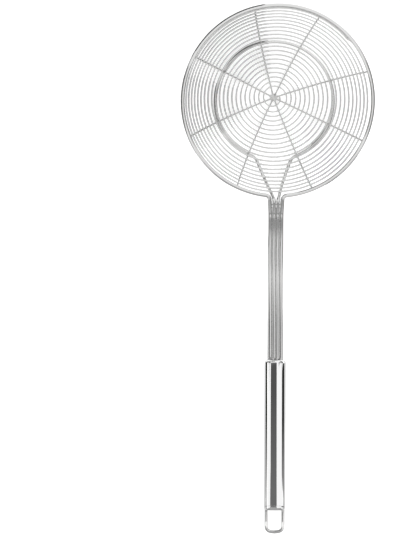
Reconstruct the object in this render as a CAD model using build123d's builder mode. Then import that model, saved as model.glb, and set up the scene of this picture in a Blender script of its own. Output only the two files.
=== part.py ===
from build123d import *

import math
import os

os.makedirs("parts", exist_ok=True)

# A spider skimmer: a shallow bowl of coiled wire on a long wire shaft with a tubular handle.
# Origin: underside of the bowl's middle. +Z up, the bowl opens upwards.
# The handle runs towards -Y. Millimetres and degrees.
# Headings are clockwise from +Y, seen from above. A lean is the slope of the bowl's wall.

# Wires
rim_wire_d = 2.8
support_wire_d = 2.6
net_wire_d = 1.2
cross_wire_d = 1.2
loop_wire_d = 2.4
weld_gap = 0.05
overrun = 1.0
rim_wire_sides = 6
support_wire_sides = 6
net_wire_sides = 3
cross_wire_sides = 4
loop_wire_sides = 6

# Bowl
rim_outer_d = 137.0
net_flat_r = 10.3
net_curve_r = 70.0

# Spiral of the net; a run is a length along the wall from the bowl's middle
spiral_pitch = 3.25
spiral_start_run = 5.63
spiral_tuck = 1.68
spiral_tuck_turns = 0.85
spiral_start_heading = 71.0
spiral_rim_turns = 0.12
turns_per_biarc = 0.5
direction_step_share = 0.001
gap_samples_per_arc = 12

# Cross wires under the spiral, pressed flat together where they cross; each has two arms
cross_arm_headings = (25.8, 71.6, 114.7, 157.7, 204.5, 247.1, 297.0, 344.9)
cross_kink_r = 30.0
foot_flat_depth = 0.1

# Support ring under the net, a little towards the handle and open to it, and its two legs
support_ring_share = 0.609
support_ring_shift = 1.9
support_corner_lead = 4.0
corner_fill_share = 0.93
leg_spread = 21.8
leg_bend_share = 0.466
leg_bend_drop = 5.5
leg_bend_lead_share = 0.95
leg_neck_r = 4.0
leg_neck_reach = 1.5

# Shaft of four wires side by side
neck_length = 11.0
neck_splay = 2.7
neck_bend_r = 3.4
shaft_rise = 7.0
shaft_length = 102.8
shaft_bend_r = 15.0
shaft_grip_length = 25.0

# Handle
handle_d = 15.0
handle_wall = 0.8
handle_length = 105.5
round_edge_r = 2.3
round_edge_steps = 3
cap_plate_length = 3.2
cap_spigot_length = 6.0
spigot_clearance = 0.05
slot_clearance = 0.1

# Hanging loop
loop_width = 14.2
loop_reach = 16.1
loop_corner_r = 3.4
loop_bow_r = 12.0
loop_bow_angle = 13.3
loop_socket_depth = 2.4
loop_socket_clearance = 0.05

# The layers of wire in the middle of the bowl, from the foot upwards
cross_wire_z = cross_wire_d / 2 - foot_flat_depth
cross_wire_drop = (net_wire_d + cross_wire_d) / 2 + weld_gap
support_drop = cross_wire_drop + (cross_wire_d + support_wire_d) / 2 + weld_gap
net_z = cross_wire_z + cross_wire_drop
curve_centre_z = net_z + net_curve_r


def wall_r(drop, lean):
    """Distance from the bowl's axis, at drop outside the spiral's surface."""
    return net_flat_r + (net_curve_r + drop) * math.sin(lean)


def wall_z(drop, lean):
    """Height at drop outside the spiral's surface."""
    return curve_centre_z - (net_curve_r + drop) * math.cos(lean)


def wall_lean(drop, radius):
    """Lean of the wall at a distance from the bowl's axis."""
    return math.asin((radius - net_flat_r) / (net_curve_r + drop))


def section_plane(path, x_dir):
    """The plane square to the start of a wire's path."""
    return Plane(origin=path @ 0, x_dir=x_dir, z_dir=path % 0)


def mirrored(points):
    """The same points on the other side of the handle's plane, in reverse order."""
    return [(-x, y, z) for x, y, z in reversed(points)]


def line_meets_circle(start, direction, radius):
    """Where a plan line from outside first meets a circle about the bowl's axis."""
    along = start.dot(direction)
    reach = -along - math.sqrt(along**2 - start.dot(start) + radius**2)
    return start + direction * reach


# Rim height and the shaft's lines
rim_r = (rim_outer_d - rim_wire_d) / 2
rim_lean = wall_lean(cross_wire_drop, rim_r)
rim_z = wall_z(cross_wire_drop, rim_lean)
inner_leg_x = (support_wire_d + weld_gap) / 2
outer_leg_x = inner_leg_x + (support_wire_d + rim_wire_d) / 2 + weld_gap
bend_y = -rim_outer_d / 2 - neck_length
rise = math.radians(shaft_rise)
shaft_plane = Plane(
    origin=(0, bend_y, rim_z),
    x_dir=(1, 0, 0),
    z_dir=(0, -math.cos(rise), math.sin(rise)),
)
wire_end = shaft_length + shaft_grip_length
handle_end = shaft_length + handle_length


def shaft_point(x, along):
    """A point of the shaft's middle plane, along from the bend line."""
    return tuple(shaft_plane.from_local_coords((x, 0, along)))


# Rim wire: the ring, a small bend outwards on each side of the handle, and two outer shaft wires
splay = math.radians(neck_splay)
neck_way = Vector(math.sin(splay), math.cos(splay))
neck_side = Vector(math.cos(splay), -math.sin(splay))
bend_point = Vector(outer_leg_x, bend_y)
neck_centre = line_meets_circle(
    bend_point + neck_side * neck_bend_r, neck_way, rim_r + neck_bend_r
)
neck_foot = neck_centre - neck_side * neck_bend_r
ring_end = neck_centre * (rim_r / (rim_r + neck_bend_r))
neck_middle_way = (neck_foot + ring_end - neck_centre * 2).normalized()
neck_middle = neck_centre + neck_middle_way * neck_bend_r
outer_leg = [
    shaft_point(outer_leg_x, wire_end),
    shaft_point(outer_leg_x, 0),
    (neck_foot.X, neck_foot.Y, rim_z),
]
neck_bend = [(p.X, p.Y, rim_z) for p in (neck_foot, neck_middle, ring_end)]

with BuildPart() as rim_wire:
    with BuildLine() as rim_path:
        FilletPolyline(*outer_leg, radius=shaft_bend_r)
        ThreePointArc(*neck_bend)
        ThreePointArc(neck_bend[-1], (0, rim_r, rim_z), mirrored(neck_bend)[0])
        ThreePointArc(*mirrored(neck_bend))
        FilletPolyline(*mirrored(outer_leg), radius=shaft_bend_r)
    with BuildSketch(section_plane(rim_path.line, (0, 0, 1))):
        RegularPolygon(rim_wire_d / 2, rim_wire_sides)
    sweep(path=rim_path.line)
rim_wire.part.label = "rim_wire"
export_step(rim_wire.part, "parts/rim_wire.step")


# Support ring: it rests on the wall all round, so its shift makes it slope
support_ring_r = rim_outer_d / 2 * support_ring_share
support_middle = Vector(0, -support_ring_shift)
near_r = support_ring_r + support_ring_shift
far_r = support_ring_r - support_ring_shift
side_r = math.hypot(support_ring_r, support_ring_shift)
near_z, far_z, side_z = [
    wall_z(support_drop, wall_lean(support_drop, radius)) for radius in (near_r, far_r, side_r)
]


def support_point(p):
    """The point of the support ring's plane over or under a point of the plan."""
    slope = (near_z - far_z) / (near_r + far_r)
    return Vector(p.X, p.Y, side_z - slope * (p.Y + support_ring_shift))


# Support wire: the ring, a bend into each leg, and two inner shaft wires
spread = math.radians(leg_spread)
leg_way = Vector(math.sin(spread), math.cos(spread))
leg_neck = Vector(inner_leg_x, -rim_outer_d / 2 - leg_neck_reach)
corner_arm = line_meets_circle(
    leg_neck - support_middle, leg_way, math.hypot(support_ring_r, support_corner_lead)
)
lead_angle = math.atan2(support_corner_lead, support_ring_r)
corner_angle = math.atan2(corner_arm.X, -corner_arm.Y) + lead_angle
ring_end_way = Vector(math.sin(corner_angle), -math.cos(corner_angle))
leg_corner = support_point(support_middle + corner_arm)
support_ring_end = support_point(support_middle + ring_end_way * support_ring_r)
support_ring_far = support_point(support_middle + Vector(0, support_ring_r))

# Each leg follows the bowl's wall from below: a low slope, one long bend and a high slope
leg_reach = (support_middle + corner_arm - leg_neck).length
high_reach = leg_reach * leg_bend_share
low_reach = leg_reach - high_reach
leg_bend = leg_neck + leg_way * high_reach
leg_bend.Z = wall_z(leg_bend_drop, wall_lean(leg_bend_drop, leg_bend.length))
high_slope = math.atan2(rim_z - leg_bend.Z, high_reach)
low_slope = math.atan2(leg_bend.Z - leg_corner.Z, low_reach)
leg_bend_lead = (min(low_reach, high_reach) - support_corner_lead) * leg_bend_lead_share
leg_bend_r = leg_bend_lead / math.tan((high_slope - low_slope) / 2)
corner_turn = math.radians((leg_corner - leg_bend).get_angle(support_ring_end - leg_corner))
support_corner_r = support_corner_lead * corner_fill_share / math.tan(corner_turn / 2)
inner_leg = [
    shaft_point(inner_leg_x, wire_end),
    shaft_point(inner_leg_x, 0),
    (leg_neck.X, leg_neck.Y, rim_z),
    leg_bend,
    leg_corner,
    support_ring_end,
]
inner_leg_radii = [shaft_bend_r, leg_neck_r, leg_bend_r, support_corner_r]

with BuildPart() as support_wire:
    with BuildLine() as support_path:
        FilletPolyline(*inner_leg, radius=inner_leg_radii)
        ThreePointArc(support_ring_end, support_ring_far, mirrored(inner_leg)[0])
        FilletPolyline(*mirrored(inner_leg), radius=inner_leg_radii[::-1])
    with BuildSketch(section_plane(support_path.line, (0, 0, 1))):
        RegularPolygon(support_wire_d / 2, support_wire_sides)
    sweep(path=support_path.line)
support_wire.part.label = "support_wire"
export_step(support_wire.part, "parts/support_wire.step")


# Cross wires: each is cut down to its own layer of the joint where they all cross
cross_lean = rim_lean - (rim_wire_d / 2 + weld_gap) / (net_curve_r + cross_wire_drop)
cross_wire_count = len(cross_arm_headings) // 2
arm_ways = [math.radians(heading) for heading in cross_arm_headings]
opposite_ways = arm_ways[cross_wire_count:]
following_ways = arm_ways[1:] + [arm_ways[0] + math.tau]
least_apart = min(b - a for a, b in zip(arm_ways, following_ways))
most_kink = max(abs(b - a - math.pi) for a, b in zip(arm_ways, opposite_ways))
kink_depth = cross_kink_r * (1 / math.cos(most_kink / 2) - 1)
overlap_r = cross_wire_d / 2 / math.sin(least_apart / 2) + kink_depth / math.sin(least_apart)
joint_r = overlap_r + weld_gap
layer = (cross_wire_d - foot_flat_depth) / cross_wire_count


def arm_points(way):
    """Start, middle and end of one arm's curve, from the edge of the flat to the rim."""
    leans = (0, cross_lean / 2, cross_lean)
    curve = [(wall_r(cross_wire_drop, lean), wall_z(cross_wire_drop, lean)) for lean in leans]
    return [(r * math.sin(way), r * math.cos(way), z) for r, z in curve]


for i in range(cross_wire_count):
    arm = arm_points(arm_ways[i])
    other_arm = arm_points(opposite_ways[i])
    name = f"cross_wire_{i + 1}"
    with BuildPart() as cross_wire:
        with BuildLine() as cross_path:
            ThreePointArc(*reversed(arm))
            FilletPolyline(arm[0], (0, 0, cross_wire_z), other_arm[0], radius=cross_kink_r)
            ThreePointArc(*other_arm)
        with BuildSketch(section_plane(cross_path.line, (0, 0, 1))):
            RegularPolygon(cross_wire_d / 2, cross_wire_sides)
        sweep(path=cross_path.line)
        with BuildSketch(Plane.XY):
            Circle(rim_r)
        extrude(amount=-cross_wire_d, mode=Mode.SUBTRACT)
        with BuildSketch(Plane.XY.offset(layer * i)):
            Circle(joint_r)
        extrude(amount=-cross_wire_d, mode=Mode.SUBTRACT)
        with BuildSketch(Plane.XY.offset(layer * (i + 1))):
            Circle(joint_r)
        extrude(amount=cross_wire_d, mode=Mode.SUBTRACT)
    cross_wire.part.label = name
    export_step(cross_wire.part, f"parts/{name}.step")


# Spiral wire: one wire wound outwards over the cross wires, its last turn against the rim
hug_distance = (rim_wire_d + net_wire_d) / 2 + weld_gap
hug_reach = math.sqrt(hug_distance**2 - cross_wire_drop**2)
hug_lean = rim_lean - hug_reach / (net_curve_r + cross_wire_drop)
spiral_end_run = net_flat_r + net_curve_r * hug_lean
spiral_turns = (spiral_end_run - spiral_start_run) / spiral_pitch + spiral_rim_turns


def spiral_point(turn):
    """A point of the spiral's centre line; the start is tucked in, the end stays at the rim."""
    tuck_share = max(0, 1 - turn / spiral_tuck_turns)
    run = spiral_start_run + spiral_pitch * turn - spiral_tuck * tuck_share**2
    run = min(run, spiral_end_run)
    lean = max(0, run - net_flat_r) / net_curve_r
    radius = min(run, net_flat_r) + net_curve_r * math.sin(lean)
    heading = math.radians(spiral_start_heading) + math.tau * turn
    return Vector(
        radius * math.sin(heading), radius * math.cos(heading), wall_z(0, lean)
    )


def spiral_direction(turn):
    """The direction of the spiral's centre line."""
    step = turns_per_biarc * direction_step_share
    return (spiral_point(turn + step) - spiral_point(turn - step)).normalized()


def biarc_joint(start, start_way, end, end_way):
    """Where two tangent arcs of equal reach meet, and their shared direction there."""
    chord = end - start
    along = chord.dot(start_way + end_way)
    apart = 1 - start_way.dot(end_way)
    reach = math.sqrt(along**2 + 2 * apart * chord.dot(chord)) - along
    first = start + start_way * (reach / (2 * apart))
    second = end - end_way * (reach / (2 * apart))
    return (first + second) / 2, (second - first).normalized()


biarc_count = math.ceil(spiral_turns / turns_per_biarc)
biarc_turns = [spiral_turns * i / biarc_count for i in range(biarc_count + 1)]

with BuildPart() as spiral_wire:
    with BuildLine() as spiral_path:
        for turn, next_turn in zip(biarc_turns, biarc_turns[1:]):
            start = spiral_point(turn)
            end = spiral_point(next_turn)
            start_way = spiral_direction(turn)
            end_way = spiral_direction(next_turn)
            joint, joint_way = biarc_joint(start, start_way, end, end_way)
            TangentArc(start, joint, tangent=start_way)
            TangentArc(joint, end, tangent=joint_way)
    with BuildSketch(section_plane(spiral_path.line, (0, 0, 1))):
        RegularPolygon(net_wire_d / 2, net_wire_sides)
    sweep(path=spiral_path.line)
spiral_wire.part.label = "spiral_wire"
export_step(spiral_wire.part, "parts/spiral_wire.step")

# The least gap between a turn and the next one, on points of the spiral's own arcs
arc_shares = [i / gap_samples_per_arc for i in range(gap_samples_per_arc)]
samples = [edge @ share for edge in spiral_path.edges() for share in arc_shares]
one_turn = round(2 * gap_samples_per_arc / turns_per_biarc)
half_turn = one_turn // 2
nearest = min(
    (p - q).length
    for i, p in enumerate(samples)
    for q in samples[i + half_turn : i + half_turn + one_turn]
)
print(f"least gap of the spiral wire to itself: {nearest - net_wire_d:.2f} mm")


# Handle tube: its front is drawn in to a closed, rounded nose with a slot for the shaft wires
bore_r = handle_d / 2 - handle_wall
bore_edge_bevel = round_edge_r - handle_wall
cap_start = handle_end - cap_plate_length
slot_width = 2 * (outer_leg_x + slot_clearance) + rim_wire_d
slot_height = rim_wire_d + 2 * slot_clearance
round_edge = [
    (handle_d / 2 - round_edge_r * (1 - math.sin(a)), round_edge_r * (1 - math.cos(a)))
    for a in [math.pi / 2 * i / round_edge_steps for i in range(round_edge_steps + 1)]
]
nose_curve = [(r, shaft_length + inset) for r, inset in round_edge]
bore_start = shaft_length + handle_wall
bore_profile = [
    (handle_d / 2, cap_start),
    (bore_r, cap_start),
    (bore_r, bore_start + bore_edge_bevel),
    (bore_r - bore_edge_bevel, bore_start),
    (0, bore_start),
]
side_plane = Plane(
    origin=shaft_plane.origin, x_dir=(1, 0, 0), z_dir=(0, -math.sin(rise), -math.cos(rise))
)

with BuildPart() as handle_tube:
    with BuildSketch(side_plane):
        with BuildLine():
            Polyline((0, shaft_length), *nose_curve, *bore_profile, close=True)
        make_face()
    revolve(axis=Axis(shaft_plane.origin, shaft_plane.z_dir))
    with BuildSketch(shaft_plane.offset(shaft_length)):
        SlotOverall(slot_width, slot_height)
    extrude(amount=round_edge_r + overrun, mode=Mode.SUBTRACT)
handle_tube.part.label = "handle_tube"
export_step(handle_tube.part, "parts/handle_tube.step")


# Handle end cap: a rounded plate with a spigot, and two sockets for the hanging loop
loop_leg_x = (loop_width - loop_wire_d) / 2
spigot_r = bore_r - spigot_clearance
cap_profile = [
    (handle_d / 2, cap_start),
    (spigot_r, cap_start),
    (spigot_r, cap_start - cap_spigot_length),
    (0, cap_start - cap_spigot_length),
]

with BuildPart() as handle_end_cap:
    with BuildSketch(side_plane):
        with BuildLine():
            rear_curve = [(r, handle_end - inset) for r, inset in round_edge]
            Polyline((0, handle_end), *rear_curve, *cap_profile, close=True)
        make_face()
    revolve(axis=Axis(shaft_plane.origin, shaft_plane.z_dir))
    with BuildSketch(shaft_plane.offset(handle_end)):
        with Locations((-loop_leg_x, 0), (loop_leg_x, 0)):
            Circle(loop_wire_d / 2 + loop_socket_clearance)
    extrude(amount=-loop_socket_depth, mode=Mode.SUBTRACT)
handle_end_cap.part.label = "handle_end_cap"
export_step(handle_end_cap.part, "parts/handle_end_cap.step")


# Hanging loop: two straight legs, two corners and a shallow bow
bow = math.radians(loop_bow_angle)
bow_point = handle_end + loop_reach - loop_wire_d / 2 + loop_bow_r * (1 / math.cos(bow) - 1)
corner_point = bow_point - loop_leg_x * math.tan(bow)
loop_half = [
    shaft_point(loop_leg_x, handle_end - loop_socket_depth),
    shaft_point(loop_leg_x, corner_point),
]
loop_points = loop_half + [shaft_point(0, bow_point)] + mirrored(loop_half)

with BuildPart() as hang_loop:
    with BuildLine() as loop_path:
        FilletPolyline(*loop_points, radius=[loop_corner_r, loop_bow_r, loop_corner_r])
    with BuildSketch(section_plane(loop_path.line, (1, 0, 0))):
        RegularPolygon(loop_wire_d / 2, loop_wire_sides)
    sweep(path=loop_path.line)
hang_loop.part.label = "hang_loop"
export_step(hang_loop.part, "parts/hang_loop.step")
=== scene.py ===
"""The looks of a spider skimmer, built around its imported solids.

Sizes and points are in millimetres until a mesh is made; meshes, cards and the camera are in
metres. The frame is the solids' own: origin under the bowl's middle, +Z up, handle towards -Y.
Headings are clockwise from +Y, seen from above. A lean is the slope of the bowl's wall.
"""

import math

import bpy
from mathutils import Matrix, Vector


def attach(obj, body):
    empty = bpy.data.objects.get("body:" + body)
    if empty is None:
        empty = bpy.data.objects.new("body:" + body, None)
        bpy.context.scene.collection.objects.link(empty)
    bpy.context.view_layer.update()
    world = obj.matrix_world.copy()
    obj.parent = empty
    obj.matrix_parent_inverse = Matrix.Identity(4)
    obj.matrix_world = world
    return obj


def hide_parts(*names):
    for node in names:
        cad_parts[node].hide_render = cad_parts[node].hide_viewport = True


MM = 0.001

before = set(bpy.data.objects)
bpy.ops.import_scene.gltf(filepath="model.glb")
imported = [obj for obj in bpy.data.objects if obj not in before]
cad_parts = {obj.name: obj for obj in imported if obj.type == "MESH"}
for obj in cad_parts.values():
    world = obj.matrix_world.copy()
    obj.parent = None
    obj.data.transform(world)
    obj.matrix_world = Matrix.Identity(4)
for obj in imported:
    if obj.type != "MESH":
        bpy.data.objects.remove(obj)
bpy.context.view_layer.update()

# Wires
rim_wire_r = 1.4
support_wire_r = 1.3
net_wire_r = 0.6
cross_wire_r = 0.6
loop_wire_r = 1.2
weld_gap = 0.05

# Bowl and spiral
rim_outer_r = 68.5
net_flat_r = 10.3
net_curve_r = 70.0
spiral_pitch = 3.25
spiral_start_run = 5.63
spiral_tuck = 1.68
spiral_tuck_turns = 0.85
spiral_start_heading = 71.0
spiral_rim_turns = 0.12
spiral_points_per_turn = 96

# Cross wires: two arms each
cross_arm_headings = (25.8, 71.6, 114.7, 157.7, 204.5, 247.1, 297.0, 344.9)
cross_kink_reach = 1.9
foot_flat_depth = 0.1
joint_r = 1.86
joint_width_share = 1.5
joint_fade_share = 0.9

# Support wire
support_ring_share = 0.609
support_ring_shift = 1.9
support_corner_lead = 4.0
corner_fill_share = 0.93
leg_spread = 21.8
leg_bend_share = 0.466
leg_bend_drop = 5.5
leg_bend_lead_share = 0.95
leg_neck_r = 4.0
leg_neck_reach = 1.5

# Shaft
neck_length = 11.0
neck_splay = 2.7
neck_bend_r = 3.4
shaft_rise = 7.0
shaft_length = 102.8
shaft_bend_r = 15.0
shaft_grip_length = 25.0

# Handle
handle_r = 7.5
handle_wall = 0.8
handle_length = 105.5
round_edge_r = 2.3
seam_edge_r = 0.12
cap_plate_length = 3.2
cap_spigot_length = 6.0
spigot_clearance = 0.05
slot_clearance = 0.1

# Hanging loop
loop_half_width = 5.9
loop_reach = 16.1
loop_corner_r = 3.4
loop_bow_r = 12.0
loop_bow_angle = 13.3
loop_socket_depth = 2.4
loop_socket_clearance = 0.05

# Welds: half of their length, width and height, and where they lie
groove_weld = (2.6, 0.8, 0.45)
groove_weld_lead = 3.2
groove_weld_height = 0.55
spiral_end_weld = (2.2, 0.7, 0.7)
spiral_end_weld_shift = 0.6
turn_weld = (0.62, 0.72, 0.34)
ring_weld = (0.95, 0.85, 0.4)
rim_weld = (0.8, 0.9, 0.75)

# Meshes: sides of the wires and steps of the curves, height of a wire's domed end as a share of
# its radius, reach of a cutter past the surface it opens, and the angle of a sharp edge
heavy_wire_sides = 24
spiral_wire_sides = 12
cross_wire_sides = 14
turn_weld_sides = 10
turn_weld_rings = 3
neck_bend_step = math.radians(8)
round_edge_steps = 16
seam_edge_steps = 4
inner_nose_steps = 6
slot_end_steps = 16
socket_sides = 32
wire_dome_share = 0.5
cutter_reach = 2
slot_cut_depth = 4
sharp_angle = math.radians(35)

# The photograph: its size, and where it shows the middle of the bowl's rim
image_width = 400
image_height = 535
rim_middle_px = (277.95, 100.6)
pixels_per_mm = 1.4268
camera_distance = 6.0
camera_sensor = 36.0
toward_camera = Vector((-0.102, 0.091, 1)).normalized()
image_roll = math.radians(1.0)

# Levels of wire, as in the solids
cross_wire_z = cross_wire_r - foot_flat_depth
cross_wire_drop = net_wire_r + cross_wire_r + weld_gap
support_drop = cross_wire_drop + cross_wire_r + support_wire_r + weld_gap
curve_centre_z = cross_wire_z + cross_wire_drop + net_curve_r


def wall_r(drop, lean):
    """Distance from the bowl's axis, at drop outside the spiral's surface."""
    return net_flat_r + (net_curve_r + drop) * math.sin(lean)


def wall_z(drop, lean):
    """Height at drop outside the spiral's surface."""
    return curve_centre_z - (net_curve_r + drop) * math.cos(lean)


def wall_lean(drop, radius):
    """Lean of the wall at a distance from the bowl's axis."""
    return math.asin((radius - net_flat_r) / (net_curve_r + drop))


def wall_point(way, run, drop):
    """A point of the wall in a level direction, at a run along it from the middle."""
    lean = max(0, run - net_flat_r) / net_curve_r
    return way * (min(run, net_flat_r) + wall_r(drop, lean) - net_flat_r) + Vector(
        (0, 0, wall_z(drop, lean))
    )


def flat_way(heading):
    """The level direction of a heading."""
    return Vector((math.sin(heading), math.cos(heading), 0))


def mirrored(points):
    """The same points on the other side of the handle's plane, in reverse order."""
    return [Vector((-p.x, p.y, p.z)) for p in reversed(points)]


def line_meets_circle(start, way, radius):
    """Where a level line from outside first meets a circle about the bowl's axis."""
    along = start.dot(way)
    return start + way * (-along - math.sqrt(along**2 - start.dot(start) + radius**2))


def arc(centre, start_arm, end_arm, step=math.radians(3)):
    """Points of an arc from one arm about its centre to another, less than half a turn on."""
    turn = start_arm.angle(end_arm)
    count = max(2, math.ceil(turn / step))
    shares = [i / count for i in range(count + 1)]
    return [
        centre
        + (start_arm * math.sin(turn * (1 - t)) + end_arm * math.sin(turn * t)) / math.sin(turn)
        for t in shares
    ]


def rounded(corners, radii):
    """Points of a line through corners, with each inner corner rounded to its radius."""
    points = [corners[0]]
    for before, corner, after, radius in zip(corners, corners[1:], corners[2:], radii):
        back = (before - corner).normalized()
        on = (after - corner).normalized()
        half_opening = back.angle(on) / 2
        lead = radius / math.tan(half_opening)
        centre = corner + (back + on).normalized() * (radius / math.sin(half_opening))
        points += arc(centre, corner + back * lead - centre, corner + on * lead - centre)
    return points + [corners[-1]]


def ring_arc(radius, start_heading, end_heading, step=math.radians(1.5)):
    """Points of a level arc about the bowl's axis."""
    count = math.ceil(abs(end_heading - start_heading) / step)
    headings = [start_heading + (end_heading - start_heading) * i / count for i in range(count + 1)]
    return [flat_way(h) * radius for h in headings]


# Rim height and the shaft's lines
rim_r = rim_outer_r - rim_wire_r
rim_lean = wall_lean(cross_wire_drop, rim_r)
rim_z = wall_z(cross_wire_drop, rim_lean)
level = Vector((0, 0, rim_z))
inner_leg_x = support_wire_r + weld_gap / 2
outer_leg_x = inner_leg_x + support_wire_r + rim_wire_r + weld_gap
rise = math.radians(shaft_rise)
shaft_start = Vector((0, -rim_outer_r - neck_length, rim_z))
shaft_way = Vector((0, -math.cos(rise), math.sin(rise)))
shaft_up = Vector((0, math.sin(rise), math.cos(rise)))
wire_end = shaft_length + shaft_grip_length
handle_end = shaft_length + handle_length


def shaft_point(x, along, height=0.0):
    """A point along the shaft from the bend line, x across it and height above its middle."""
    return shaft_start + Vector((x, 0, 0)) + shaft_way * along + shaft_up * height


def link(name, shapes):
    """One smooth-shaded object from shapes: each is its vertices, its faces and their uvs."""
    vertices = []
    faces = []
    uvs = []
    for shape_vertices, shape_faces, shape_uvs in shapes:
        faces += [tuple(len(vertices) + v for v in face) for face in shape_faces]
        vertices += [Vector(v) * MM for v in shape_vertices]
        uvs += shape_uvs
    mesh = bpy.data.meshes.new(name)
    mesh.from_pydata(vertices, [], faces)
    if uvs:
        layer = mesh.uv_layers.new(name="along_and_round")
        layer.data.foreach_set("uv", [number for uv in uvs for number in uv])
    mesh.polygons.foreach_set("use_smooth", [True] * len(mesh.polygons))
    mesh.update()
    piece = bpy.data.objects.new(name, mesh)
    bpy.context.scene.collection.objects.link(piece)
    return piece


def skin(rows, row_lengths):
    """Faces and uvs of a closed skin over rows of points; a row of one point is a pole."""
    firsts = [0]
    for row in rows:
        firsts.append(firsts[-1] + len(row))
    sides = max(len(row) for row in rows)
    faces = []
    uvs = []
    for i in range(len(rows) - 1):
        for k in range(sides):
            corners = [(i, k), (i, k + 1), (i + 1, k + 1), (i + 1, k)]
            if len(rows[i]) == 1:
                corners.pop(1)
            if len(rows[i + 1]) == 1:
                corners.pop(2)
            faces.append(tuple(firsts[row] + c % len(rows[row]) for row, c in corners))
            uvs += [(row_lengths[row] * MM, c / sides) for row, c in corners]
    return [p for row in rows for p in row], faces, uvs


def swept_wire(points, radius, sides, shape=None):
    """A round wire along points, with domed ends.

    shape(i) may give the section's half width, half height and lift at point i, where the
    wire is pressed out of round; its height is then upright.
    """
    ways = [
        (points[min(i + 1, len(points) - 1)] - points[max(i - 1, 0)]).normalized()
        for i in range(len(points))
    ]
    side = ways[0].cross(Vector((0, 0, 1))).normalized()
    angles = [math.tau * k / sides for k in range(sides)]
    dome_angles = (math.radians(30), math.radians(60))
    dome = [(math.cos(a), math.sin(a) * wire_dome_share) for a in dome_angles]
    tip = radius * wire_dome_share
    rows = []
    row_lengths = []
    length = 0.0
    for i, (point, way) in enumerate(zip(points, ways)):
        side = (side - way * side.dot(way)).normalized()
        up = side.cross(way)
        half_width, half_height, lift = shape(i) if shape else (radius, radius, 0.0)
        if i:
            length += (point - points[i - 1]).length
        rings = [(0.0, 1.0)]
        if i == 0:
            rings = [(-reach * radius, share) for share, reach in reversed(dome)] + rings
        if i == len(points) - 1:
            rings = rings + [(reach * radius, share) for share, reach in dome]
        rings = [
            (
                length + reach,
                [
                    point
                    + way * reach
                    + side * (half_width * share * math.cos(a))
                    + up * (half_height * share * math.sin(a) + lift)
                    for a in angles
                ],
            )
            for reach, share in rings
        ]
        if i == 0:
            rings = [(-tip, [point - way * tip + up * lift])] + rings
        if i == len(points) - 1:
            rings = rings + [(length + tip, [point + way * tip + up * lift])]
        rows += [row for _, row in rings]
        row_lengths += [row_length for row_length, _ in rings]
    return skin(rows, row_lengths)


def bead(centre, along, across, half_sizes, sides=12, rings=5):
    """A small weld: a squashed ball with its length along, its width across."""
    half_length, half_width, half_height = half_sizes
    up = across.cross(along).normalized()
    rows = [[centre - along * half_length]]
    lengths = [0.0]
    for j in range(1, rings + 1):
        a = math.pi * j / (rings + 1)
        rows.append(
            [
                centre
                - along * (half_length * math.cos(a))
                + across * (half_width * math.sin(a) * math.cos(math.tau * k / sides))
                + up * (half_height * math.sin(a) * math.sin(math.tau * k / sides))
                for k in range(sides)
            ]
        )
        lengths.append(half_length * (1 - math.cos(a)))
    rows.append([centre + along * half_length])
    lengths.append(2 * half_length)
    return skin(rows, lengths)


# Rim wire: the ring, a small bend outwards on each side of the handle, and two outer shaft wires
splay = math.radians(neck_splay)
neck_way = flat_way(splay)
neck_side = Vector((math.cos(splay), -math.sin(splay), 0))
bend_point = Vector((outer_leg_x, shaft_start.y, 0))
neck_centre = line_meets_circle(bend_point + neck_side * neck_bend_r, neck_way, rim_r + neck_bend_r)
neck_foot = neck_centre - neck_side * neck_bend_r
ring_end = neck_centre * (rim_r / (rim_r + neck_bend_r))
outer_leg = rounded(
    [shaft_point(outer_leg_x, wire_end), shaft_point(outer_leg_x, 0), neck_foot + level],
    [shaft_bend_r],
)
neck_bend = arc(neck_centre + level, neck_foot - neck_centre, ring_end - neck_centre, neck_bend_step)
ring_end_heading = math.atan2(ring_end.x, ring_end.y)
rim_half = outer_leg[:-1] + neck_bend[:-1]
rim_ring = [p + level for p in ring_arc(rim_r, ring_end_heading, -ring_end_heading)]
rim_line = rim_half + rim_ring + mirrored(rim_half)
rim_shapes = [swept_wire(rim_line, rim_wire_r, heavy_wire_sides)]

# Support ring: it rests on the wall all round, so its shift makes it slope
support_ring_r = rim_outer_r * support_ring_share
support_middle = Vector((0, -support_ring_shift, 0))
near_r = support_ring_r + support_ring_shift
far_r = support_ring_r - support_ring_shift
side_r = math.hypot(support_ring_r, support_ring_shift)
near_z, far_z, side_z = [
    wall_z(support_drop, wall_lean(support_drop, radius)) for radius in (near_r, far_r, side_r)
]
support_slope = (near_z - far_z) / (near_r + far_r)


def support_point(p):
    """The point of the support ring's plane over or under a point of the plan."""
    return Vector((p.x, p.y, side_z - support_slope * (p.y + support_ring_shift)))


# Support wire: the ring, a bend into each leg, and two inner shaft wires
leg_way = flat_way(math.radians(leg_spread))
leg_neck = Vector((inner_leg_x, -rim_outer_r - leg_neck_reach, 0))
corner_arm = line_meets_circle(
    leg_neck - support_middle, leg_way, math.hypot(support_ring_r, support_corner_lead)
)
lead_angle = math.atan2(support_corner_lead, support_ring_r)
corner_angle = math.atan2(corner_arm.x, -corner_arm.y) + lead_angle
leg_corner = support_point(support_middle + corner_arm)
ring_end_plan = support_middle + flat_way(math.pi - corner_angle) * support_ring_r
support_ring_end = support_point(ring_end_plan)
leg_reach = (support_middle + corner_arm - leg_neck).length
high_reach = leg_reach * leg_bend_share
low_reach = leg_reach - high_reach
leg_bend = leg_neck + leg_way * high_reach
leg_bend.z = wall_z(leg_bend_drop, wall_lean(leg_bend_drop, leg_bend.length))
high_slope = math.atan2(rim_z - leg_bend.z, high_reach)
low_slope = math.atan2(leg_bend.z - leg_corner.z, low_reach)
leg_bend_lead = (min(low_reach, high_reach) - support_corner_lead) * leg_bend_lead_share
leg_bend_r = leg_bend_lead / math.tan((high_slope - low_slope) / 2)
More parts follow.
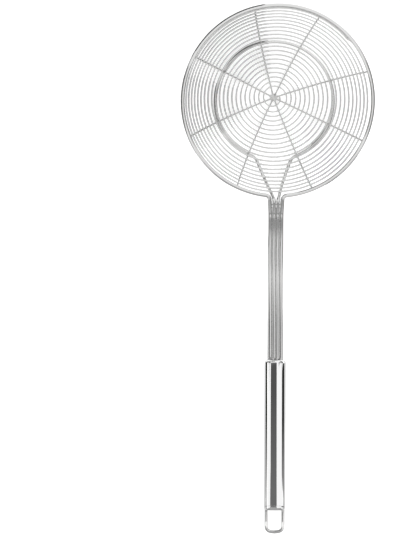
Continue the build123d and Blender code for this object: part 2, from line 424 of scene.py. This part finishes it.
corner_turn = (leg_corner - leg_bend).angle(support_ring_end - leg_corner)
support_corner_r = support_corner_lead * corner_fill_share / math.tan(corner_turn / 2)
support_half = rounded(
    [
        shaft_point(inner_leg_x, wire_end),
        shaft_point(inner_leg_x, 0),
        leg_neck + level,
        leg_bend,
        leg_corner,
        support_ring_end,
    ],
    [shaft_bend_r, leg_neck_r, leg_bend_r, support_corner_r],
)[:-1]
support_ring = [
    support_point(support_middle + p)
    for p in ring_arc(support_ring_r, math.pi - corner_angle, corner_angle - math.pi)
]
support_line = support_half + support_ring + mirrored(support_half)
support_shapes = [swept_wire(support_line, support_wire_r, heavy_wire_sides)]

# Welds in the grooves between the shaft wires, above and below, where they come together
groove_weld_y = -rim_outer_r - leg_neck_reach - groove_weld_lead
for x in (0, inner_leg_x + support_wire_r, -inner_leg_x - support_wire_r):
    for side in (1, -1):
        groove = Vector((x, groove_weld_y, rim_z + side * groove_weld_height))
        rim_shapes.append(bead(groove, Vector((0, 1, 0)), Vector((1, 0, 0)), groove_weld))

# Spiral wire: its line as a run along the wall from the bowl's middle
hug_reach = math.sqrt((rim_wire_r + net_wire_r + weld_gap) ** 2 - cross_wire_drop**2)
hug_lean = rim_lean - hug_reach / (net_curve_r + cross_wire_drop)
spiral_end_run = net_flat_r + net_curve_r * hug_lean
spiral_turns = (spiral_end_run - spiral_start_run) / spiral_pitch + spiral_rim_turns


def spiral_run(turn):
    """Run of the spiral after some turns."""
    tuck_share = max(0, 1 - turn / spiral_tuck_turns)
    run = spiral_start_run + spiral_pitch * turn - spiral_tuck * tuck_share**2
    return min(run, spiral_end_run)


spiral_steps = math.ceil(spiral_turns * spiral_points_per_turn)
spiral_points = []
for k in range(spiral_steps + 1):
    turn = spiral_turns * k / spiral_steps
    way = flat_way(math.radians(spiral_start_heading) + math.tau * turn)
    spiral_points.append(wall_point(way, spiral_run(turn), 0))
spiral_shapes = [swept_wire(spiral_points, net_wire_r, spiral_wire_sides)]
end_way = (spiral_points[-1] - spiral_points[-2]).normalized()
end_heading = math.atan2(spiral_points[-1].x, spiral_points[-1].y)
end_middle = spiral_points[-1] + flat_way(end_heading) * spiral_end_weld_shift
end_side = end_way.orthogonal().normalized()
spiral_shapes.append(bead(end_middle, end_way, end_side, spiral_end_weld))

# Cross wires: round, pressed flat over one another where they cross, and welded to the rest
cross_wire_count = len(cross_arm_headings) // 2
cross_lean = rim_lean - (rim_wire_r + weld_gap) / (net_curve_r + cross_wire_drop)
layer = (2 * cross_wire_r - foot_flat_depth) / cross_wire_count
flat_steps = 60
curve_steps = 56


def ramp(s):
    """Zero before the kink, s after it, with a smooth turn between."""
    if abs(s) > cross_kink_reach:
        return max(s, 0)
    return (s + cross_kink_reach) ** 2 / (4 * cross_kink_reach)


def arm_welds(heading):
    """The welds of one arm: to each turn of the spiral, to the support ring and to the rim."""
    way = flat_way(heading)
    tangent = flat_way(heading + math.pi / 2)
    welds = []
    turn = (heading - math.radians(spiral_start_heading)) / math.tau % 1
    while turn < spiral_turns:
        run = spiral_run(turn)
        lean = max(0, run - net_flat_r) / net_curve_r
        up_wall = way * math.cos(lean) + Vector((0, 0, math.sin(lean)))
        middle = wall_point(way, run, net_wire_r + weld_gap / 2)
        welds.append(bead(middle, up_wall, tangent, turn_weld, turn_weld_sides, turn_weld_rings))
        turn += 1
    away = way.dot(support_middle)
    ring_reach = away + math.sqrt(away**2 - support_ring_shift**2 + support_ring_r**2)
    lean = wall_lean(cross_wire_drop + cross_wire_r, ring_reach)
    up_wall = way * math.cos(lean) + Vector((0, 0, math.sin(lean)))
    middle = way * ring_reach + Vector((0, 0, wall_z(cross_wire_drop + cross_wire_r, lean)))
    welds.append(bead(middle, up_wall, tangent, ring_weld))
    up_wall = way * math.cos(cross_lean) + Vector((0, 0, math.sin(cross_lean)))
    middle = way * wall_r(cross_wire_drop, cross_lean)
    middle.z = wall_z(cross_wire_drop, cross_lean)
    welds.append(bead(middle, up_wall, tangent, rim_weld))
    return welds


cross_wires = []
for i in range(cross_wire_count):
    near_heading = math.radians(cross_arm_headings[i])
    far_heading = math.radians(cross_arm_headings[i + cross_wire_count])
    near_way = flat_way(near_heading)
    far_way = flat_way(far_heading)
    half = [
        (wall_r(cross_wire_drop, lean), wall_z(cross_wire_drop, lean))
        for lean in (cross_lean * k / curve_steps for k in range(1, curve_steps + 1))
    ]
    flat = [-net_flat_r + 2 * net_flat_r * k / flat_steps for k in range(flat_steps + 1)]
    profile = [(-r, z) for r, z in reversed(half)] + [(s, cross_wire_z) for s in flat] + half
    points = [near_way * ramp(-s) + far_way * ramp(s) + Vector((0, 0, z)) for s, z in profile]

    def pressed(k):
        """The section at point k: round, or flattened into this wire's own layer at the joint."""
        away = abs(profile[k][0]) / joint_r
        share = min(max((away - 1) / joint_fade_share, 0), 1)
        share = share * share * (3 - 2 * share)
        half_width = cross_wire_r * (joint_width_share + (1 - joint_width_share) * share)
        half_height = layer / 2 + (cross_wire_r - layer / 2) * share
        lift = (layer * (i + 0.5) - cross_wire_z) * (1 - share)
        return half_width, half_height, lift

    shapes = [swept_wire(points, cross_wire_r, cross_wire_sides, pressed)]
    shapes += arm_welds(near_heading) + arm_welds(far_heading)
    wire = link(f"cross_wire_round_{i + 1}", shapes)
    for vertex in wire.data.vertices:
        vertex.co.z = max(vertex.co.z, 0)
    cross_wires.append(wire)

rim_wire = link("rim_wire_round", rim_shapes)
support_wire = link("support_wire_round", support_shapes)
spiral_wire = link("spiral_wire_round", spiral_shapes)

# Hanging loop
bow = math.radians(loop_bow_angle)
bow_point = handle_end + loop_reach - loop_wire_r + loop_bow_r * (1 / math.cos(bow) - 1)
loop_half = [
    shaft_point(loop_half_width, handle_end - loop_socket_depth + loop_wire_r / 2),
    shaft_point(loop_half_width, bow_point - loop_half_width * math.tan(bow)),
]
loop_points = rounded(
    loop_half + [shaft_point(0, bow_point)] + mirrored(loop_half),
    [loop_corner_r, loop_bow_r, loop_corner_r],
)
hang_loop = link("hang_loop_round", [swept_wire(loop_points, loop_wire_r, heavy_wire_sides)])


def turned(profile, sides=144):
    """A solid of revolution about the shaft's line, from (radius, along) points, pole to pole."""
    angles = [math.tau * k / sides for k in range(sides)]
    rows = [
        [shaft_point(radius * math.cos(a), along, radius * math.sin(a)) for a in angles]
        if radius
        else [shaft_point(0, along)]
        for radius, along in reversed(profile)
    ]
    return skin(rows, [along for _, along in reversed(profile)])


def edge_arc(centre_r, centre_along, radius, start, end, steps):
    """(radius, along) points of a rounded edge, from one angle to another."""
    angles = [math.radians(start + (end - start) * k / steps) for k in range(steps + 1)]
    return [(centre_r + radius * math.cos(a), centre_along + radius * math.sin(a)) for a in angles]


def bar(outline, start, end):
    """A straight bar along the shaft's line, from an outline of (x, height) points."""
    count = len(outline)
    vertices = [shaft_point(x, along, y) for along in (start, end) for x, y in outline]
    faces = [tuple(range(count)), tuple(range(2 * count - 1, count - 1, -1))]
    faces += [(k, k + count, (k + 1) % count + count, (k + 1) % count) for k in range(count)]
    return vertices, faces, []


def cut(piece, cutter):
    """Cuts one piece by another, removes the cutter, and keeps the sharp edges sharp."""
    modifier = piece.modifiers.new("cut", "BOOLEAN")
    modifier.operation = "DIFFERENCE"
    modifier.solver = "EXACT"
    modifier.object = cutter
    depsgraph = bpy.context.evaluated_depsgraph_get()
    piece.data = bpy.data.meshes.new_from_object(piece.evaluated_get(depsgraph))
    piece.modifiers.clear()
    bpy.data.objects.remove(cutter)
    piece.data.set_sharp_from_angle(angle=sharp_angle)


# Handle tube: a drawn-in nose with a slot, a long wall and an open rear
bore_r = handle_r - handle_wall
cap_start = handle_end - cap_plate_length
inner_nose_r = round_edge_r - handle_wall
round_start_r = handle_r - round_edge_r
seam_start_r = handle_r - seam_edge_r
nose_start = shaft_length + round_edge_r
tube_profile = (
    [(0, shaft_length)]
    + edge_arc(round_start_r, nose_start, round_edge_r, -90, 0, round_edge_steps)
    + edge_arc(seam_start_r, cap_start - seam_edge_r, seam_edge_r, 0, 90, seam_edge_steps)
    + [(bore_r, cap_start)]
    + edge_arc(bore_r - inner_nose_r, nose_start, inner_nose_r, 0, -90, inner_nose_steps)
    + [(0, shaft_length + handle_wall)]
)
handle_tube = link("handle_tube_round", [turned(tube_profile)])
slot_r = rim_wire_r + slot_clearance
slot_outline = [
    (side * (outer_leg_x + slot_r * math.sin(a)), side * slot_r * math.cos(a))
    for side in (1, -1)
    for a in (math.pi * k / slot_end_steps for k in range(slot_end_steps + 1))
]
slot_bar = bar(slot_outline, shaft_length - cutter_reach, shaft_length + slot_cut_depth)
cut(handle_tube, link("slot", [slot_bar]))

# Handle end cap: a rounded plate with a spigot, and two sockets for the loop
spigot_r = bore_r - spigot_clearance
cap_profile = (
    [(0, cap_start - cap_spigot_length), (spigot_r, cap_start - cap_spigot_length)]
    + [(spigot_r, cap_start)]
    + edge_arc(seam_start_r, cap_start + seam_edge_r, seam_edge_r, -90, 0, seam_edge_steps)
    + edge_arc(round_start_r, handle_end - round_edge_r, round_edge_r, 0, 90, round_edge_steps)
    + [(0, handle_end)]
)
end_cap = link("handle_end_cap_round", [turned(cap_profile)])
socket_r = loop_wire_r + loop_socket_clearance
for side in (1, -1):
    socket_outline = [
        (side * loop_half_width + socket_r * math.sin(a), socket_r * math.cos(a))
        for a in (math.tau * k / socket_sides for k in range(socket_sides))
    ]
    socket = bar(socket_outline, handle_end - loop_socket_depth, handle_end + cutter_reach)
    cut(end_cap, link("socket", [socket]))


# Steel: noise scales, the noise levels between which a cloud or a scratch grows, how far each
# changes the roughness, and the depth of the relief
cloud_scale = (70.0, 70.0, 70.0)
cloud_low = 0.3
cloud_high = 0.7
scratch_length_share = 0.4
scratch_fineness = 5
scratch_low = 0.66
scratch_high = 0.72
streak_rough = 0.3
cloud_rough = 0.25
scratch_rough = 0.5
relief_depth = 0.00005


def steel(name, colour, roughness, streak, bump, tint=0.05):
    """Bright drawn or polished steel.

    Fine streaks run along the texture's first coordinate, and wider clouds and thin scratches
    lie over them. Colour follows the first two, roughness all three, and relief the streaks and
    the scratches.
    """
    material = bpy.data.materials.new(name)
    material.use_nodes = True
    nodes = material.node_tree.nodes
    links = material.node_tree.links
    shader = nodes["Principled BSDF"]
    shader.inputs["Metallic"].default_value = 1.0
    coordinates = nodes.new("ShaderNodeTexCoord")

    def noise(source, scale, detail):
        mapping = nodes.new("ShaderNodeMapping")
        mapping.inputs["Scale"].default_value = scale
        links.new(coordinates.outputs[source], mapping.inputs["Vector"])
        texture = nodes.new("ShaderNodeTexNoise")
        texture.inputs["Scale"].default_value = 1.0
        texture.inputs["Detail"].default_value = detail
        links.new(mapping.outputs["Vector"], texture.inputs["Vector"])
        return texture.outputs["Fac"]

    def ranged(value, low, high, from_low=0.0, from_high=1.0):
        node = nodes.new("ShaderNodeMapRange")
        node.inputs["From Min"].default_value = from_low
        node.inputs["From Max"].default_value = from_high
        node.inputs["To Min"].default_value = low
        node.inputs["To Max"].default_value = high
        links.new(value, node.inputs["Value"])
        return node.outputs["Result"]

    def combine(operation, first, second):
        node = nodes.new("ShaderNodeMath")
        node.operation = operation
        links.new(first, node.inputs[0])
        links.new(second, node.inputs[1])
        return node.outputs["Value"]

    streaks = noise("UV", streak, 4.0)
    clouds = noise("Object", cloud_scale, 3.0)
    scratch_scale = (streak[0] * scratch_length_share, streak[1] * scratch_fineness, 1.0)
    scratch = ranged(noise("UV", scratch_scale, 2.0), 0.0, 1.0, scratch_low, scratch_high)
    brightness = combine(
        "MULTIPLY",
        ranged(streaks, 1 - tint, 1 + tint * 0.6),
        ranged(clouds, 1 - tint * 0.6, 1 + tint * 0.4),
    )
    shade = nodes.new("ShaderNodeVectorMath")
    shade.operation = "SCALE"
    shade.inputs[0].default_value = colour
    links.new(brightness, shade.inputs["Scale"])
    links.new(shade.outputs["Vector"], shader.inputs["Base Color"])
    rough = combine(
        "MULTIPLY",
        ranged(streaks, roughness * (1 - streak_rough), roughness * (1 + streak_rough)),
        ranged(clouds, 1 - cloud_rough, 1 + cloud_rough, cloud_low, cloud_high),
    )
    rough = combine("ADD", rough, ranged(scratch, 0.0, roughness * scratch_rough))
    links.new(rough, shader.inputs["Roughness"])
    relief = nodes.new("ShaderNodeBump")
    relief.inputs["Strength"].default_value = bump
    relief.inputs["Distance"].default_value = relief_depth
    links.new(combine("SUBTRACT", streaks, scratch), relief.inputs["Height"])
    links.new(relief.outputs["Normal"], shader.inputs["Normal"])
    return material


heavy_steel = steel("heavy_wire_steel", (0.75, 0.75, 0.745), 0.08, (60.0, 30.0, 1.0), 0.06)
loop_steel = steel("loop_wire_steel", (0.92, 0.92, 0.915), 0.08, (60.0, 30.0, 1.0), 0.06)
net_steel = steel("net_wire_steel", (0.78, 0.78, 0.775), 0.20, (80.0, 20.0, 1.0), 0.10)
cross_steel = steel("cross_wire_steel", (0.64, 0.64, 0.635), 0.30, (80.0, 20.0, 1.0), 0.12)
handle_steel = steel("handle_steel", (0.93, 0.93, 0.93), 0.05, (25.0, 60.0, 1.0), 0.02, 0.02)

pieces = [
    (rim_wire, "rim_wire", "heavy_wire", heavy_steel),
    (support_wire, "support_wire", "heavy_wire", heavy_steel),
    (spiral_wire, "spiral_wire", "net_wire", net_steel),
    (hang_loop, "hang_loop", "heavy_wire", loop_steel),
    (handle_tube, "handle_tube", "handle", handle_steel),
    (end_cap, "handle_end_cap", "handle", handle_steel),
]
pieces += [
    (wire, f"cross_wire_{i + 1}", "net_wire", cross_steel) for i, wire in enumerate(cross_wires)
]
for piece, node, slot, material in pieces:
    piece.data.materials.clear()
    piece.data.materials.append(material)
    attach(piece, "root")
    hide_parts(node)


# Studio: heights and places in metres, greys as light
white = (1, 1, 1, 1)
floor_z = -0.0003
floor_half = 20
floor_grey = 0.85
floor_roughness = 0.9
floor_glow = 0.5
over_handle_z = 0.12
over_end_z = 0.255
wide_x = 0.4
behind_y = -0.62


def staged(name, corners):
    """A flat piece of the studio, from its corners in metres."""
    mesh = bpy.data.meshes.new(name)
    mesh.from_pydata(corners, [], [tuple(range(len(corners)))])
    thing = bpy.data.objects.new(name, mesh)
    bpy.context.scene.collection.objects.link(thing)
    return thing


def floor_material():
    """White paper that camera and mirror rays see as white, and that still takes a shadow."""
    material = bpy.data.materials.new("pale_floor")
    material.use_nodes = True
    nodes = material.node_tree.nodes
    links = material.node_tree.links
    shader = nodes["Principled BSDF"]
    shader.inputs["Base Color"].default_value = (floor_grey, floor_grey, floor_grey, 1)
    shader.inputs["Roughness"].default_value = floor_roughness
    shader.inputs["Specular IOR Level"].default_value = 0.0
    path = nodes.new("ShaderNodeLightPath")
    seen = path.outputs["Is Camera Ray"]
    for ray in ("Is Glossy Ray", "Is Transmission Ray"):
        either = nodes.new("ShaderNodeMath")
        either.operation = "MAXIMUM"
        links.new(seen, either.inputs[0])
        links.new(path.outputs[ray], either.inputs[1])
        seen = either.outputs["Value"]
    glow = nodes.new("ShaderNodeMath")
    glow.operation = "MULTIPLY"
    glow.inputs[1].default_value = floor_glow
    links.new(seen, glow.inputs[0])
    shader.inputs["Emission Color"].default_value = white
    links.new(glow.outputs["Value"], shader.inputs["Emission Strength"])
    return material


floor_corners = [
    (x * floor_half, y * floor_half, floor_z) for x, y in ((-1, -1), (1, -1), (1, 1), (-1, 1))
]
floor = staged("floor", floor_corners)
floor.data.materials.append(floor_material())


def card(name, corners, grey, fade=None):
    """A grey card that only mirror rays see.

    fade gives another grey, and the y at which the change to it starts and ends.
    """
    material = bpy.data.materials.new(name)
    material.use_nodes = True
    nodes = material.node_tree.nodes
    links = material.node_tree.links
    nodes.remove(nodes["Principled BSDF"])
    glow = nodes.new("ShaderNodeEmission")
    glow.inputs["Color"].default_value = white
    glow.inputs["Strength"].default_value = grey
    if fade:
        far_grey, start_y, end_y = fade
        coordinates = nodes.new("ShaderNodeTexCoord")
        axes = nodes.new("ShaderNodeSeparateXYZ")
        links.new(coordinates.outputs["Object"], axes.inputs["Vector"])
        change = nodes.new("ShaderNodeMapRange")
        change.inputs["From Min"].default_value = start_y
        change.inputs["From Max"].default_value = end_y
        change.inputs["To Min"].default_value = grey
        change.inputs["To Max"].default_value = far_grey
        links.new(axes.outputs["Y"], change.inputs["Value"])
        links.new(change.outputs["Result"], glow.inputs["Strength"])
    links.new(glow.outputs["Emission"], nodes["Material Output"].inputs["Surface"])
    thing = staged(name, corners)
    thing.data.materials.append(material)
    thing.visible_camera = False
    thing.visible_diffuse = False
    thing.visible_transmission = False
    thing.visible_volume_scatter = False
    thing.visible_shadow = False
    return thing


def level_card(name, z, back, front, grey, fade=None):
    """A level card between two edges across it, each given as its y, left x and right x."""
    back_y, back_left, back_right = back
    front_y, front_left, front_right = front
    corners = [
        (back_left, back_y, z),
        (back_right, back_y, z),
        (front_right, front_y, z),
        (front_left, front_y, z),
    ]
    return card(name, corners, grey, fade)


# Close over the handle: the dark stripe along its top, which fades out over the shaft's wires
over_tail = (-0.277, -0.078, 0.018)
over_nose = (-0.172, -0.104, 0.014)
over_shaft = (-0.10, -0.122, 0.012)
level_card("card_over_handle", over_handle_z, over_tail, over_nose, 0.085, (0.155, -0.19, -0.28))
level_card("card_before_handle", over_handle_z, over_nose, over_shaft, 0.80, (0.085, -0.128, -0.171))

# Over the shaft just behind the neck: the darker start of its four wires
behind_neck = (-0.092, -0.10, 0.12)
over_neck = (-0.070, -0.10, 0.12)
level_card("card_over_neck", over_handle_z, behind_neck, over_neck, 0.38, (0.85, -0.079, -0.092))

# Behind the handle, and under it: the grey of its rounded end and of its outermost edges; the edges'
# grey is a painted shadow, the floor in the handle's shade as mirror rays see it
over_loop = (-0.363, -0.30, 0.08)
over_cap = (-0.273, -0.26, 0.056)
level_card("card_over_end", over_end_z, over_loop, over_cap, 0.15, (0.40, -0.30, -0.363))
behind_corners = [(-wide_x, -0.365, over_end_z), (wide_x, -0.365, over_end_z)]
behind_corners += [(wide_x, behind_y, 0.0), (-wide_x, behind_y, 0.0)]
card("card_behind_handle", behind_corners, 0.40)
far_behind = (behind_y, -wide_x, wide_x)
close_behind = (-0.36, -wide_x, wide_x)
level_card("card_on_floor_behind_handle", 0.0, far_behind, close_behind, 0.26)
# Painted shadow: a grey sheet where the floor lies in the handle's shade, which only the handle's
# reflections show
level_card("card_under_handle_painted_shadow", 0.0, (-0.36, -0.110, 0.130), (-0.16, -0.058, 0.118), 0.70)

# Beside the object, near the floor: the dark lines along the handle and the heavy wires
card(
    "card_left_of_handle",
    [
        (-0.54, -0.296, 0.0),
        (-0.088, -0.296, 0.0),
        (-0.056, -0.19, 0.0),
        (-0.056, -0.10, 0.0),
        (-0.24, -0.10, 0.0),
        (-0.24, -0.19, 0.0),
    ],
    0.02,
    (0.38, -0.230, -0.296),
)
card(
    "card_right_of_handle",
    [(0.130, -0.296, 0.0), (0.50, -0.296, 0.17), (0.50, -0.150, 0.194), (0.118, -0.178, 0.0)],
    0.02,
    (0.25, -0.230, -0.296),
)
for side in (1, -1):
    loop_sides = (0.09 * side, 0.5 * side)
    level_card(f"card_beside_loop_{side + 2}", 0.0, (-0.36, *loop_sides), (-0.297, *loop_sides), 0.55)
    card(
        f"card_low_beside_bowl_{side + 2}",
        [
            (0.105 * side, -0.1, 0.0),
            (0.50 * side, -0.177, 0.194),
            (0.50 * side, 0.12, 0.194),
            (0.105 * side, 0.12, 0.0),
        ],
        0.03,
    )
    card(
        f"card_high_beside_bowl_{side + 2}",
        [
            (0.3 * side, -0.143, 0.15),
            (0.3 * side, -0.098, 0.5),
            (0.3 * side, 0.10, 0.5),
            (0.3 * side, 0.10, 0.15),
        ],
        0.35,
    )


def ring_card(name, start, end, low, high, grey):
    """A leaning card beyond the rim, between two headings, from one (radius, z) to another."""
    ways = [flat_way(math.radians(heading)) for heading in (start, end)]
    low_edge = [way * low[0] + Vector((0, 0, low[1])) for way in ways]
    high_edge = [way * high[0] + Vector((0, 0, high[1])) for way in reversed(ways)]
    return card(name, low_edge + high_edge, grey)


# Beyond the rim on two opposite sides: the darker sectors of the net, and two spots on the rim
ring_card("card_far_left", 300, 354, (0.13, 0.0), (0.24, 0.15), 0.03)
ring_card("card_far_right", 124, 148, (0.085, 0.0), (0.24, 0.06), 0.03)

# Under the net: its darker sectors, and the rim and the support ring over them
ring_card("card_under_far_left", 296, 354, (0.02, 0.0), (0.125, 0.0), 0.22)
ring_card("card_under_left", 234, 284, (0.03, 0.0), (0.104, 0.0), 0.30)
ring_card("card_under_right", 116, 140, (0.03, 0.0), (0.080, 0.0), 0.35)

# World: even white light
world = bpy.data.worlds.new("white_studio")
bpy.context.scene.world = world
world.use_nodes = True
background = world.node_tree.nodes["Background"]
background.inputs["Color"].default_value = white
background.inputs["Strength"].default_value = 1.0

# Camera: from above, as in the photograph
up_hint = Vector((-math.sin(image_roll), math.cos(image_roll), 0))
camera_right = up_hint.cross(toward_camera).normalized()
camera_up = toward_camera.cross(camera_right)
shift_right = (image_width / 2 - rim_middle_px[0]) / pixels_per_mm * MM
shift_up = (rim_middle_px[1] - image_height / 2) / pixels_per_mm * MM
aim = Vector((0, 0, rim_z * MM)) + camera_right * shift_right + camera_up * shift_up
camera_data = bpy.data.cameras.new("camera")
camera_data.sensor_width = camera_sensor
camera_data.lens = camera_sensor * camera_distance / (image_height / pixels_per_mm * MM)
camera_data.clip_start = 0.1
camera_data.clip_end = 100.0
camera = bpy.data.objects.new("camera", camera_data)
bpy.context.scene.collection.objects.link(camera)
turn = Matrix((camera_right, camera_up, toward_camera)).transposed().to_4x4()
camera.matrix_world = Matrix.Translation(aim + toward_camera * camera_distance) @ turn
bpy.context.scene.camera = camera

bpy.context.scene.view_settings.view_transform = "Standard"

bpy.context.view_layer.update()
